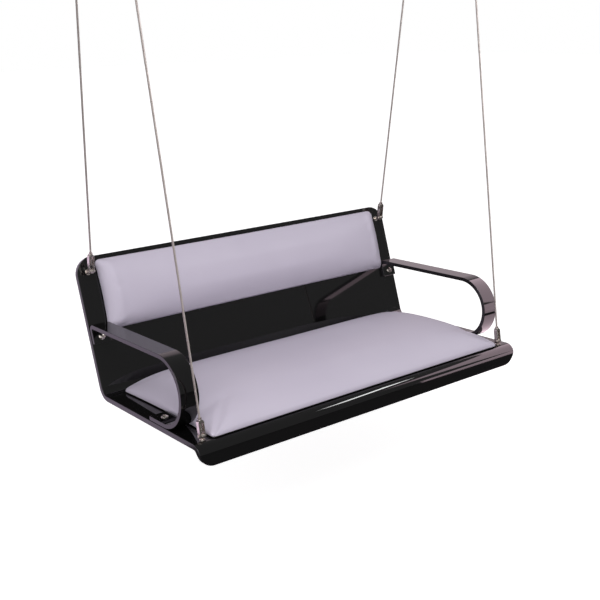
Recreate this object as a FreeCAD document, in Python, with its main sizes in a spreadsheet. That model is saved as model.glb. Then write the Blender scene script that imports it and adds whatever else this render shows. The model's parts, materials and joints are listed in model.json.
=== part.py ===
import FreeCAD, Part
import math
import os
import re

import Sketcher
from FreeCAD import Placement, Rotation, Vector

# A two-seat hanging swing. One bent acrylic sheet makes the back, the seat and the front lip.
# Four wire ropes carry it from four ceiling hooks.
# Frame: origin on the ceiling in the middle of the four hooks, X along the seat, Y to the back, Z up.
# The pieces of the seat are drawn in the seat's own frame, which starts where the front face of the
# back would meet the top face of the seat, and are then tipped and lowered into place.

SIZES = {
    # seat sheet
    "seat_width": 1200, "seat_depth": 519, "back_length": 404, "back_lean": 15.5, "lip_height": 61,
    "sheet_thick": 15, "rear_bend_inner": 30, "front_bend_inner": 15,
    "back_corner": 55, "lip_corner": 45,
    # how the seat hangs
    "seat_drop": 1260, "seat_set_back": 159, "seat_tilt": 1.84,
    "hook_edge": 10, "hook_half_y": 143.5,
    # arms
    "arm_width": 55, "arm_thick": 12, "arm_height": 204, "arm_front_gap": 76, "arm_foot": 74,
    "arm_edge_gap": 2, "arm_flange_long": 62.7, "arm_bend_inner": 6,
    "arm_flange_screw_edge": 19, "arm_foot_screw_edge": 35,
    # arm screws and their cap nuts
    "screw_dia": 8, "screw_head_dia": 20, "screw_head_rim": 1.5, "screw_head_high": 5,
    "screw_socket": 6, "screw_socket_deep": 3, "screw_reach": 5, "screw_hole_gap": 0.6,
    "cap_nut_dia": 20, "cap_nut_rim": 5, "cap_nut_high": 8, "thread_gap": 0.1,
    # seat cushion
    "seat_pad_past_arm": 1, "seat_pad_rear": 20, "seat_pad_front": 22, "seat_pad_high": 82,
    "seat_pad_side": 32, "seat_pad_crown": 240, "seat_pad_draw": 7, "seat_pad_lift": 4,
    # back cushion
    "back_pad_arm_gap": 1, "back_pad_foot": 182, "back_pad_top": 13, "back_pad_high": 50,
    "back_pad_side": 26, "back_pad_crown": 104, "back_pad_draw": 5, "back_pad_lift": 3,
    # what both cushions hold
    "cover_thick": 1.5, "foam_gap": 0.3, "board_thick": 8, "board_inset": 5, "board_gap": 0.2,
    # cushion screws and tee nuts
    "pad_screw_dia": 6, "pad_screw_head_dia": 12, "pad_screw_head_rim": 1, "pad_screw_head_high": 3.5,
    "pad_screw_edge": 200, "seat_screw_inset": 115, "back_screw_inset": 53,
    "tee_barrel_dia": 8, "tee_flange_dia": 18, "tee_flange_thick": 1.5,
    # eye bolts
    "eye_edge": 34, "rear_eye_edge": 45, "rear_eye_stand": 24, "front_eye_edge": 39,
    "front_eye_stand": 10, "eye_dia": 15, "eye_thick": 9, "eye_shank_dia": 8,
    "eye_collar_dia": 17, "eye_collar_thick": 2, "eye_end": 2,
    "washer_dia": 17, "washer_thick": 1.6, "nut_flats": 13, "nut_high": 6.5,
    # stirrups and clevis pins
    "pin_dia": 6, "pin_gap": 0.1, "pin_head_dia": 10, "pin_head_thick": 2, "pin_end": 0.8,
    "pin_nut_flats": 10, "pin_nut_high": 3, "stirrup_wide": 17, "stirrup_deep": 12, "stirrup_strap": 3,
    "rear_stirrup_long": 57, "front_stirrup_long": 48, "stirrup_boss_dia": 11, "stirrup_boss_high": 13,
    # ropes, their stop sleeves, and the eye at the top of each
    "rope_dia": 6, "rope_hole_gap": 0.8, "stop_dia": 8.5, "stop_long": 24, "stop_gap": 0.2,
    "thimble_inner": 12, "thimble_wall": 2, "eye_slack": 0.1, "eye_spread": 35, "eye_foot_bend": 17,
    "strand_gap": 0.6, "ferrule_long": 30, "ferrule_wall": 2.5, "ferrule_gap": 0.1, "tail_end": 6,
    # ceiling hooks
    "hook_wire": 10, "hook_bend": 18, "hook_neck": 12, "hook_straight": 2.5, "hook_open": 50,
    "stud_dia": 12, "stud_long": 45, "stud_root_dia": 11, "plate_dia": 60, "plate_thick": 5,
    "lock_nut_flats": 18, "lock_nut_high": 7,
    # how far a cutting tool runs past the faces that it cuts
    "overrun": 5,
}
# sizes that follow from the ones above
FOLLOWING = {
    "hook_half_x": "seat_width / 2 - hook_edge",
    "arm_reach": "seat_depth - arm_front_gap",
    "arm_flange_foot": "arm_height / cos(back_lean) - arm_flange_long",
    "arm_back_screw": "arm_flange_foot + arm_flange_screw_edge",
    "arm_foot_screw": "arm_reach - arm_height / 2 - arm_foot + arm_foot_screw_edge",
    "seat_pad_width": "seat_width - 2 * (arm_edge_gap + arm_width - seat_pad_past_arm)",
    "seat_pad_depth": "seat_depth - seat_pad_rear - seat_pad_front",
    "back_pad_width": "seat_width - 2 * (arm_edge_gap + arm_width + back_pad_arm_gap)",
    "back_pad_depth": "back_length - back_pad_foot - back_pad_top",
    "pad_screw_half_x": "seat_width / 2 - pad_screw_edge",
    "seat_screw_rear": "seat_pad_rear + seat_screw_inset",
    "seat_screw_front": "seat_pad_rear + seat_pad_depth - seat_screw_inset",
    "back_screw_low": "back_pad_foot + back_screw_inset",
    "back_screw_high": "back_pad_foot + back_pad_depth - back_screw_inset",
    "eye_half_x": "seat_width / 2 - eye_edge",
    "rear_eye_up": "back_length - rear_eye_edge",
    "front_eye_set": "seat_depth - front_eye_edge",
}
# the line of a cushion's crown from its middle to its end: the way along, and the height left
CROWN_ALONG_SHARES = (0, 0.5, 0.8, 0.92, 0.98, 1)
CROWN_HEIGHT_SHARES = (1, 0.99, 0.93, 0.72, 0.4, 0.12)
# how much less a cushion's long sides draw in than its ends
LONG_DRAW_SHARE = 0.35

doc = FreeCAD.newDocument("jhoola_swing")
sheet = doc.addObject("Spreadsheet::Sheet", "Sizes")
for row, (alias, value) in enumerate(SIZES.items(), start=1):
    sheet.set("A%d" % row, alias)
    sheet.set("B%d" % row, str(value))
    sheet.setAlias("B%d" % row, alias)
doc.recompute()
exported = []


def rule(text):
    """An expression in size names, written for the document."""
    def written(match):
        name = match.group()
        if name in FOLLOWING:
            return "(%s)" % rule(FOLLOWING[name])
        return "Sizes." + name if name in SIZES else name
    return re.sub(r"[a-z_]+", written, text)


def size(text):
    """The value of an expression in size names."""
    return float(sheet.evalExpression(rule(text)))


def bind(obj, **rules):
    for name, text in rules.items():
        obj.setExpression(name, rule(text))
    return obj


def add(kind, name, place, **rules):
    """A primitive whose sizes follow the sheet."""
    obj = bind(doc.addObject(kind, name), **rules)
    obj.Placement = place
    return obj


def at(x, y, z, rotation=Rotation()):
    return Placement(Vector(x, y, z), rotation)


def subpart(obj, label, place=Placement()):
    """Names a finished sub-part and puts it in its place."""
    obj.Label = label
    obj.Placement = place
    exported.append(obj)
    return obj


HERE = Placement()
ALONG_X = Rotation(Vector(0, 1, 0), 90)
ALONG_Y = Rotation(Vector(1, 0, 0), -90)
AGAINST_X = Rotation(Vector(0, 1, 0), -90)
DOWNWARDS = Placement(Vector(), Rotation(Vector(1, 0, 0), 180))
# the seat's own frame
SEAT = at(0, size("seat_set_back"), -size("seat_drop"), Rotation(Vector(1, 0, 0), -size("seat_tilt")))
# the front face of the back, in the seat's frame: its Y runs up the back and its Z points forward
BACK = Placement(Vector(), Rotation(Vector(1, 0, 0), 90 - size("back_lean")))
SIDES = {"left": -1, "right": 1}


# Solids that many pieces are made of

def rod(name, dia, length, place=HERE):
    """A cylinder that starts at its place and runs along its own Z."""
    return add("Part::Cylinder", name, place, Radius="(%s) / 2" % dia, Height=length)


def through(name, dia, length, place):
    """A cylinder for a hole, with its middle at its place and an overrun at both ends."""
    whole = "%s + 2 * overrun" % length
    return rod(name, dia, whole, place.multiply(at(0, 0, -size(whole) / 2)))


def joined(name, *pieces):
    obj = doc.addObject("Part::MultiFuse", name)
    obj.Shapes = list(pieces)
    return obj


def cut(name, base, *tools):
    obj = doc.addObject("Part::Cut", name)
    obj.Base = base
    obj.Tool = tools[0] if len(tools) == 1 else joined(name + "_tools", *tools)
    return obj


def shared(name, first, second):
    obj = doc.addObject("Part::Common", name)
    obj.Base = first
    obj.Tool = second
    return obj


def grouped(name, pieces, place):
    """Like fasteners, each a solid of its own, in one sub-part."""
    obj = doc.addObject("Part::Compound", name)
    obj.Links = pieces
    return subpart(obj, name, place)


def dome(name, dia, rim, high, place=HERE):
    """A low round head: a straight rim with a rounded top."""
    rise = "(%s - %s)" % (high, rim)
    radius = "((%s / 2) ^ 2 + %s ^ 2) / (2 * %s)" % (dia, rise, rise)
    ball = add("Part::Sphere", name + "_ball", at(0, 0, size(high) - size(radius)), Radius=radius)
    head = shared(name, rod(name + "_rim", dia, high), ball)
    head.Placement = place
    return head


def hexagon(name, flats, high, place=HERE):
    obj = add("Part::Prism", name, place, Circumradius="%s / sqrt(3)" % flats, Height=high)
    obj.Polygon = 6
    return obj


def nut(name, flats, bore, high, place=HERE):
    hole = through(name + "_bore", "%s + thread_gap" % bore, high, at(0, 0, size(high) / 2))
    piece = cut(name, hexagon(name + "_blank", flats, high), hole)
    piece.Placement = place
    return piece


def screw(name, dia, head_dia, rim, high, length, place=HERE):
    """A screw with a low round head and a hexagon socket; its Z points out of the head."""
    head = dome(name + "_head", head_dia, rim, high)
    shank = rod(name + "_shank", dia, length, at(0, 0, -size(length)))
    socket_deep = "%s * screw_socket_deep / screw_head_high" % high
    socket_flats = "%s * screw_socket / screw_dia" % dia
    socket = hexagon(name + "_socket", socket_flats, "%s + overrun" % socket_deep,
                     at(0, 0, size("%s - %s" % (high, socket_deep))))
    piece = cut(name, joined(name + "_blank", head, shank), socket)
    piece.Placement = place
    return piece


def bar(path, dia):
    """A round bar along straight runs and tangent arcs."""
    wire = Part.Wire(path)
    first = wire.Edges[0]
    start = first.valueAt(first.FirstParameter)
    section = Part.Wire(Part.makeCircle(dia / 2, start, first.tangentAt(first.FirstParameter)))
    solid = Part.Solid(wire.makePipeShell([section], True, False))
    expected = math.pi * (dia / 2) ** 2 * wire.Length
    print("bar of %.1f mm, %.1f mm long, volume over section times length %.6f"
          % (dia, wire.Length, solid.Volume / expected))
    return solid


def turn(centre, radius, begin, end):
    """An arc in the YZ plane, between two angles counted from +Y towards +Z."""
    points = []
    for angle in (begin, (begin + end) / 2, end):
        points.append(centre + Vector(0, math.cos(angle), math.sin(angle)) * radius)
    return Part.Arc(*points).toShape()


# Outlines of bent strips, padded along X

def strip_body(name, width, corners):
    """A body of constant outline in the YZ plane. The side after a corner is straight, or an arc where
    the corner has a third entry: a point in the middle of the arc."""
    body = doc.addObject("PartDesign::Body", name + "_body")
    sketch = body.newObject("Sketcher::SketchObject", name + "_outline")
    planes = {feature.Role: feature for feature in body.Origin.OriginFeatures}
    sketch.AttachmentSupport = [(planes["YZ_Plane"], "")]
    sketch.MapMode = "FlatFace"
    points = [Vector(size(corner[0]), size(corner[1]), 0) for corner in corners]
    count = len(points)
    for i, corner in enumerate(corners):
        start, end = points[i], points[(i + 1) % count]
        if len(corner) == 2:
            sketch.addGeometry(Part.LineSegment(start, end), False)
        else:
            middle = Vector(size(corner[2][0]), size(corner[2][1]), 0)
            if (middle - start).cross(end - middle).z < 0:
                start, end = end, start
            sketch.addGeometry(Part.Arc(start, middle, end), False)
    constraints = []
    rules = {}
    for i, corner in enumerate(corners):
        before = (i - 1) % count
        end = end_at(sketch, i, points[i])
        joint = "Tangent" if len(corner) == 3 else "Coincident"
        constraints.append(Sketcher.Constraint(joint, before, end_at(sketch, before, points[i]), i, end))
        for kind, text in (("DistanceX", corner[0]), ("DistanceY", corner[1])):
            rules[len(constraints)] = rule(text)
            constraints.append(Sketcher.Constraint(kind, -1, 1, i, end, size(text)))
    sketch.addConstraint(constraints)
    for index, text in rules.items():
        sketch.setExpression("Constraints[%d]" % index, text)
    pad = body.newObject("PartDesign::Pad", name + "_pad")
    pad.Profile = sketch
    pad.Midplane = True
    bind(pad, Length=width)
    return body


def end_at(sketch, index, point):
    """Which end of a sketch curve lies at a point, as the sketcher counts ends."""
    curve = sketch.Geometry[index]
    return 1 if (curve.StartPoint - point).Length < (curve.EndPoint - point).Length else 2


def rounded(body, name, radius, points):
    """Rounds the body's edges whose middles are nearest to these points."""
    doc.recompute()
    base = body.Tip
    edges = base.Shape.Edges
    names = []
    for point in points:
        nearest = min(range(len(edges)), key=lambda i: (edges[i].CenterOfMass - point).Length)
        names.append("Edge%d" % (nearest + 1))
    fillet = body.newObject("PartDesign::Fillet", name)
    fillet.Base = (base, names)
    bind(fillet, Radius=radius)


# Seat sheet: lower corners of the outline first, from the top of the back round to the lip

def spot(across, up, x=0):
    return Vector(x, size(across), size(up))


back_top = ("back_length * sin(back_lean)", "back_length * cos(back_lean)")
under_corner = ("sheet_thick * (1 - sin(back_lean)) / cos(back_lean)", "-sheet_thick")
rear_top = (back_top[0] + " + sheet_thick * cos(back_lean)", back_top[1] + " - sheet_thick * sin(back_lean)")
lip_rear = "-seat_depth + sheet_thick"
shell_body = strip_body("seat_shell", "seat_width", [
    back_top, ("0", "0"), ("-seat_depth", "0"), ("-seat_depth", "-lip_height"), (lip_rear, "-lip_height"),
    (lip_rear, "-sheet_thick"), under_corner, rear_top])
rounded(shell_body, "rear_bend_inside", "rear_bend_inner", [Vector()])
rounded(shell_body, "rear_bend_outside", "rear_bend_inner + sheet_thick", [spot(*under_corner)])
rounded(shell_body, "front_bend_outside", "front_bend_inner + sheet_thick", [spot("-seat_depth", "0")])
rounded(shell_body, "front_bend_inside", "front_bend_inner", [spot(lip_rear, "-sheet_thick")])
half_seat = size("seat_width") / 2
back_middle = (back_top[0] + " + sheet_thick * cos(back_lean) / 2",
               back_top[1] + " - sheet_thick * sin(back_lean) / 2")
lip_middle = ("-seat_depth + sheet_thick / 2", "-lip_height")
rounded(shell_body, "back_corners", "back_corner", [spot(*back_middle, x) for x in (-half_seat, half_seat)])
rounded(shell_body, "lip_corners", "lip_corner", [spot(*lip_middle, x) for x in (-half_seat, half_seat)])


# Places in the sheet where something is fastened; each Z points out of the sitting side

arm_x = size("seat_width / 2 - arm_edge_gap - arm_width / 2")
eye_x = size("eye_half_x")
pad_x = size("pad_screw_half_x")
arm_foot_places = [at(side * arm_x, -size("arm_foot_screw"), 0) for side in (-1, 1)]
arm_back_places = [BACK.multiply(at(side * arm_x, size("arm_back_screw"), 0)) for side in (-1, 1)]
seat_pad_places = [at(side * pad_x, -size(reach), 0)
                   for side in (-1, 1) for reach in ("seat_screw_front", "seat_screw_rear")]
back_pad_places = [BACK.multiply(at(side * pad_x, size(up), 0))
                   for side in (-1, 1) for up in ("back_screw_low", "back_screw_high")]
eye_places = {}
for side_name, side in SIDES.items():
    eye_places["rear_" + side_name] = BACK.multiply(at(side * eye_x, size("rear_eye_up"), 0))
    eye_places["front_" + side_name] = at(side * eye_x, -size("front_eye_set"), 0)
EYE_STAND = {"rear": "rear_eye_stand", "front": "front_eye_stand"}
MID_SHEET = at(0, 0, -size("sheet_thick") / 2)
SHEET_UNDER = at(0, 0, -size("sheet_thick"))

shell_holes = []
for label, dia, places in (
        ("arm", "screw_dia + screw_hole_gap", arm_foot_places + arm_back_places),
        ("pad", "pad_screw_dia + screw_hole_gap", seat_pad_places + back_pad_places),
        ("eye", "eye_shank_dia + screw_hole_gap", list(eye_places.values()))):
    for number, place in enumerate(places, start=1):
        name = "shell_%s_hole_%d" % (label, number)
        shell_holes.append(through(name, dia, "sheet_thick", place.multiply(MID_SHEET)))
subpart(cut("seat_shell", shell_body, *shell_holes), "seat_shell", SEAT)


# Arms: one bent strip each, a half ring in front, a foot on the seat and a flange on the back

arm_centre = "-(arm_reach - arm_height / 2)"
flange_foot = ("arm_flange_foot * sin(back_lean)", "arm_flange_foot * cos(back_lean)")
flange_front = (flange_foot[0] + " - arm_thick * cos(back_lean)",
                flange_foot[1] + " + arm_thick * sin(back_lean)")
outer_corner = ("arm_height * tan(back_lean)", "arm_height")
inner_corner = ("((arm_height - arm_thick) * sin(back_lean) - arm_thick) / cos(back_lean)",
                "arm_height - arm_thick")
arm_outline = [
    (arm_centre + " + arm_foot", "0"),
    (arm_centre, "0", ("-arm_reach", "arm_height / 2")),
    (arm_centre, "arm_height"),
    outer_corner, flange_foot, flange_front, inner_corner,
    (arm_centre, "arm_height - arm_thick", ("-arm_reach + arm_thick", "arm_height / 2")),
    (arm_centre, "arm_thick"),
    (arm_centre + " + arm_foot", "arm_thick")]
for side_name, side in SIDES.items():
    name = "arm_" + side_name
    body = strip_body(name, "arm_width", arm_outline)
    rounded(body, name + "_bend_outside", "arm_bend_inner + arm_thick", [spot(*outer_corner)])
    rounded(body, name + "_bend_inside", "arm_bend_inner", [spot(*inner_corner)])
    mid_strip = at(0, 0, size("arm_thick") / 2)
    foot_hole = through(name + "_foot_hole", "screw_dia + screw_hole_gap", "arm_thick",
                        at(0, -size("arm_foot_screw"), 0).multiply(mid_strip))
    back_hole = through(name + "_back_hole", "screw_dia + screw_hole_gap", "arm_thick",
                        BACK.multiply(at(0, size("arm_back_screw"), 0)).multiply(mid_strip))
    subpart(cut(name, body, foot_hole, back_hole), name, SEAT.multiply(at(side * arm_x, 0, 0)))

arm_screws = []
arm_cap_nuts = []
for number, place in enumerate(arm_foot_places + arm_back_places, start=1):
    arm_screws.append(screw(
        "arm_screw_%d" % number, "screw_dia", "screw_head_dia", "screw_head_rim", "screw_head_high",
        "arm_thick + sheet_thick + screw_reach", place.multiply(at(0, 0, size("arm_thick")))))
    name = "arm_cap_nut_%d" % number
    blank = dome(name + "_blank", "cap_nut_dia", "cap_nut_rim", "cap_nut_high")
    thread_deep = "screw_reach + thread_gap"
    thread = rod(name + "_thread", "screw_dia + thread_gap", thread_deep + " + overrun",
                 at(0, 0, -size("overrun")))
    piece = cut(name, blank, thread)
    piece.Placement = place.multiply(SHEET_UNDER).multiply(DOWNWARDS)
    arm_cap_nuts.append(piece)
grouped("arm_screws", arm_screws, SEAT)
grouped("arm_cap_nuts", arm_cap_nuts, SEAT)


# Cushions: a sewn cover over foam on a board, held by screws from outside the sheet

def plan(width, depth, draw):
    """A rectangle whose four sides curve inwards between its corners."""
    x, y = width / 2, depth / 2
    long_draw = draw * LONG_DRAW_SHARE
    corners = [Vector(-x, -y, 0), Vector(x, -y, 0), Vector(x, y, 0), Vector(-x, y, 0)]
    middles = [Vector(0, long_draw - y, 0), Vector(x - draw, 0, 0), Vector(0, y - long_draw, 0),
               Vector(draw - x, 0, 0)]
    sides = [Part.Arc(corners[i], middles[i], corners[(i + 1) % 4]).toShape() for i in range(4)]
    return Part.Face(Part.Wire(sides))


def slab(width, depth, draw, low, high):
    face = plan(width, depth, draw)
    face.translate(Vector(0, 0, low))
    return face.extrude(Vector(0, 0, high - low))


def station(x, depth, low, side, top, crown):
    """The section of a cushion at x: flat below, upright ends, and two arcs from the crown that pass the
    top of the sides and run on, so that the plan's curved sides can be cut from it."""
    ridge = depth / 2 - crown
    rise = top - side
    peak = Vector(x, ridge, top)

    def down(way):
        """The middle and the end of the arc to the front, way -1, or to the rear, way 1."""
        reach = depth / 2 - way * ridge
        radius = (reach ** 2 + rise ** 2) / (2 * rise)
        whole = math.asin((reach + size("overrun")) / radius)
        return [peak + Vector(0, way * radius * math.sin(angle), -radius * (1 - math.cos(angle)))
                for angle in (whole / 2, whole)]

    front_middle, front_end = down(-1)
    rear_middle, rear_end = down(1)
    front_foot, rear_foot = Vector(x, front_end.y, low), Vector(x, rear_end.y, low)
    return Part.Wire([
        Part.LineSegment(front_foot, rear_foot).toShape(), Part.LineSegment(rear_foot, rear_end).toShape(),
        Part.Arc(rear_end, rear_middle, peak).toShape(), Part.Arc(peak, front_middle, front_end).toShape(),
        Part.LineSegment(front_end, front_foot).toShape()])


def pillow(kind, inset, low):
    """A crowned form with drawn-in sides, shrunk on all sides by an inset."""
    width = size(kind + "_width") - 2 * inset
    depth = size(kind + "_depth") - 2 * inset
    side = size(kind + "_side") - inset
    top = size(kind + "_high") - inset
    crown = size(kind + "_crown") - inset
    half = width / 2 + size("overrun")
    ways = [-share for share in CROWN_ALONG_SHARES[:0:-1]] + list(CROWN_ALONG_SHARES)
    heights = list(CROWN_HEIGHT_SHARES[:0:-1]) + list(CROWN_HEIGHT_SHARES)
    wires = [station(way * half, depth, low, side, side + height * (top - side), crown)
             for way, height in zip(ways, heights)]
    form = Part.makeLoft(wires, True, False)
    return form.common(slab(width, depth, size(kind + "_draw"), low, top))


def cushion(label, kind, place, screw_places):
    """Cover, foam, board, screws and tee nuts. The place is the middle of the cushion on the sheet; the
    screw places are on the sheet too."""
    cover_thick = size("cover_thick")
    board = size("board_thick")
    board_width = size(kind + "_width - 2 * board_inset")
    board_depth = size(kind + "_depth - 2 * board_inset")
    draw = size(kind + "_draw")
    gap = size("board_gap")
    skin = pillow(kind, 0, size(kind + "_lift"))
    hollow = pillow(kind, cover_thick, board)
    recess = slab(board_width + 2 * gap, board_depth + 2 * gap, draw, -size("overrun"), board + gap)
    cover = doc.addObject("Part::Feature", label + "_cover")
    cover.Shape = skin.cut(hollow).cut(recess)
    subpart(cover, label + "_cover", SEAT.multiply(place))
    foam = doc.addObject("Part::Feature", label + "_foam")
    foam.Shape = pillow(kind, cover_thick + size("foam_gap"), board + gap)
    subpart(foam, label + "_foam", SEAT.multiply(place))

    blank = doc.addObject("Part::Feature", label + "_board_blank")
    blank.Shape = slab(board_width, board_depth, draw, 0, board)
    blank.Placement = place
    holes = []
    screws = []
    tee_nuts = []
    for number, spot_place in enumerate(screw_places, start=1):
        name = "%s_%d" % (label, number)
        barrel = through(name + "_barrel_hole", "tee_barrel_dia + thread_gap", "board_thick",
                         spot_place.multiply(at(0, 0, board / 2)))
        flange = rod(name + "_flange_hole", "tee_flange_dia + thread_gap", "tee_flange_thick + overrun",
                     spot_place.multiply(at(0, 0, size("board_thick - tee_flange_thick"))))
        holes += [barrel, flange]
        screws.append(screw(
            name + "_screw", "pad_screw_dia", "pad_screw_head_dia", "pad_screw_head_rim",
            "pad_screw_head_high", "sheet_thick + board_thick - tee_flange_thick",
            spot_place.multiply(SHEET_UNDER).multiply(DOWNWARDS)))
        tee = joined(name + "_tee_blank", rod(name + "_tee_barrel", "tee_barrel_dia", "board_thick"),
                     rod(name + "_tee_flange", "tee_flange_dia", "tee_flange_thick",
                         at(0, 0, size("board_thick - tee_flange_thick"))))
        tee = cut(name + "_tee", tee, through(name + "_tee_bore", "pad_screw_dia + thread_gap",
                                              "board_thick", at(0, 0, board / 2)))
        tee.Placement = spot_place
        tee_nuts.append(tee)
    subpart(cut(label + "_board", blank, *holes), label + "_board", SEAT)
    grouped(label + "_screws", screws, SEAT)
    grouped(label + "_tee_nuts", tee_nuts, SEAT)


cushion("seat_cushion", "seat_pad", at(0, -size("seat_pad_rear + seat_pad_depth / 2"), 0), seat_pad_places)
cushion("back_cushion", "back_pad",
        BACK.multiply(at(0, size("back_pad_foot + back_pad_depth / 2"), 0)), back_pad_places)


# Eye bolts: a ring on a threaded shank through the sheet, with a washer and a nut outside

washers = []
eye_nuts = []
for corner, place in eye_places.items():
    name = "eye_bolt_" + corner
    stand = EYE_STAND[corner.split("_")[0]]
    below = "sheet_thick + washer_thick + nut_high + eye_end"
    shank = rod(name + "_shank", "eye_shank_dia", "%s + %s" % (below, stand), at(0, 0, -size(below)))
    collar = rod(name + "_collar", "eye_collar_dia", "eye_collar_thick")
    ring = rod(name + "_ring", "eye_dia", "eye_thick", at(-size("eye_thick") / 2, 0, size(stand), ALONG_X))
    hole = through(name + "_pin_hole", "pin_dia + pin_gap", "eye_thick", at(0, 0, size(stand), ALONG_X))
    bolt = cut(name, joined(name + "_blank", shank, collar, ring), hole)
    subpart(bolt, name, SEAT.multiply(place))
    under = place.multiply(at(0, 0, -size("sheet_thick + washer_thick")))
    blank = rod("washer_%s_blank" % corner, "washer_dia", "washer_thick")
    bore = through("washer_%s_bore" % corner, "eye_shank_dia + screw_hole_gap", "washer_thick",
                   at(0, 0, size("washer_thick") / 2))
    washer = cut("washer_" + corner, blank, bore)
    washer.Placement = under
    washers.append(washer)
    eye_nuts.append(nut("eye_nut_" + corner, "nut_flats", "eye_shank_dia", "nut_high",
                        under.multiply(at(0, 0, -size("nut_high")))))
grouped("eye_bolt_washers", washers, SEAT)
grouped("eye_bolt_nuts", eye_nuts, SEAT)


# Ceiling hooks: a threaded stud above the ceiling's face, a thinner root that carries a plate and its
# lock nut, a neck, and an open ring whose lowest point is under the stud

neck, bend = size("hook_neck"), size("hook_bend")
neck_turn = math.acos(neck / (neck + bend))
neck_top = -size("plate_thick + lock_nut_high + hook_straight")
hook_centre_z = neck_top - (neck + bend) * math.sin(neck_turn)
hook_points = {}
plates = []
lock_nuts = []
for corner in eye_places:
    end_name, side_name = corner.split("_")
    side = SIDES[side_name]
    hook_y = size("hook_half_y") * (1 if end_name == "rear" else -1)
    place = at(side * size("hook_half_x"), hook_y, 0)
    hook_points[corner] = place.Base + Vector(0, 0, hook_centre_z - bend)
    name = "ceiling_hook_" + corner
    straight = Part.LineSegment(Vector(0, 0, neck_top + size("hook_straight")), Vector(0, 0, neck_top))
    tip = math.pi + math.radians(size("hook_open"))
    path = [straight.toShape(),
            turn(Vector(0, neck, neck_top), neck, math.pi, math.pi + neck_turn),
            turn(Vector(0, 0, hook_centre_z), bend, neck_turn, -math.pi / 2),
            turn(Vector(0, 0, hook_centre_z), bend, -math.pi / 2, -tip)]
    wire = doc.addObject("Part::Feature", name + "_wire")
    wire.Shape = bar(path, size("hook_wire"))
    wire.Placement = Placement(Vector(), Rotation(Vector(0, 0, 1), -90 * side))
    below = "plate_thick + lock_nut_high"
    stud = rod(name + "_stud", "stud_dia", "stud_long")
    root = rod(name + "_root", "stud_root_dia", below, at(0, 0, -size(below)))
    subpart(joined(name, stud, root, wire), name, place)
    hole = through("plate_%s_hole" % corner, "stud_root_dia + thread_gap", "plate_thick",
                   at(0, 0, -size("plate_thick") / 2))
    plate = cut("plate_" + corner, rod("plate_%s_blank" % corner, "plate_dia", "plate_thick",
                                       at(0, 0, -size("plate_thick"))), hole)
    plate.Placement = place
    plates.append(plate)
    lock_nuts.append(nut("lock_nut_" + corner, "lock_nut_flats", "stud_root_dia", "lock_nut_high",
                         place.multiply(at(0, 0, -size(below)))))
grouped("ceiling_plates", plates, HERE)
grouped("hook_lock_nuts", lock_nuts, HERE)


# Ropes: a stirrup pinned to the eye bolt, a rope through its crown, and an eye round a thimble above

strand_apart = size("rope_dia + strand_gap")
loop_radius = size("thimble_inner + thimble_wall + rope_dia / 2")
spread = math.radians(size("eye_spread"))
foot_bend = size("eye_foot_bend")
throat = (loop_radius * math.cos(spread) - strand_apart / 2
          - foot_bend * (1 - math.cos(spread))) / math.sin(spread)
throat_rise = (loop_radius + foot_bend) * math.sin(spread) + throat * math.cos(spread)
STIRRUP_LONG = {"rear": "rear_stirrup_long", "front": "front_stirrup_long"}


def stirrup(name, long):
    """A narrow arch of flat strap whose ends are rounded about the pin, with a boss on its crown."""
    crown = "(%s - stirrup_boss_high)" % long
    half_wide, half_deep = size("stirrup_wide") / 2, size("stirrup_deep") / 2
    legs = add("Part::Box", name + "_legs", at(-half_wide, -half_deep, 0),
               Length="stirrup_wide", Width="stirrup_deep", Height=crown)
    ends = rod(name + "_ends", "stirrup_deep", "stirrup_wide", at(-half_wide, 0, 0, ALONG_X))
    arch = rod(name + "_arch", "stirrup_wide", "stirrup_deep", at(0, -half_deep, size(crown), ALONG_Y))
    boss = rod(name + "_boss", "stirrup_boss_dia", "stirrup_boss_high", at(0, 0, size(crown)))
    past = half_deep + size("overrun")
    gap = add("Part::Box", name + "_gap", at(size("stirrup_strap") - half_wide, -past, -past),
              Length="stirrup_wide - 2 * stirrup_strap", Width="stirrup_deep + 2 * overrun",
              Height="%s + stirrup_deep / 2 + overrun" % crown)
    pin_hole = through(name + "_pin_hole", "pin_dia + pin_gap", "stirrup_wide", at(0, 0, 0, ALONG_X))
    rope_hole = through(name + "_rope_hole", "rope_dia + rope_hole_gap", "stirrup_boss_high",
                        at(0, 0, size("%s - stirrup_boss_high / 2" % long)))
    return cut(name, joined(name + "_blank", legs, ends, arch, boss), gap, pin_hole, rope_hole)


def rope_path(start, ring_z):
    """Up the main strand, out and round the thimble, and back down beside the main strand."""
    ring = Vector(0, strand_apart / 2, ring_z)
    foot_z = ring_z - throat_rise
    tail_z = foot_z - size("ferrule_long + tail_end")
    out = turn(Vector(0, -foot_bend, foot_z), foot_bend, 0, spread)
    over_a = turn(ring, loop_radius, math.pi + spread, math.pi / 2)
    over_b = turn(ring, loop_radius, math.pi / 2, -spread)
    back = turn(Vector(0, strand_apart + foot_bend, foot_z), foot_bend, math.pi - spread, math.pi)

    def run(a, b):
        return Part.LineSegment(a, b).toShape()

    def end(edge):
        return edge.valueAt(edge.LastParameter)

    def start_of(edge):
        return edge.valueAt(edge.FirstParameter)
    return [run(Vector(0, 0, start), start_of(out)), out, run(end(out), start_of(over_a)), over_a, over_b,
            run(end(over_b), start_of(back)), back, run(end(back), Vector(0, strand_apart, tail_z))]


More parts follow.
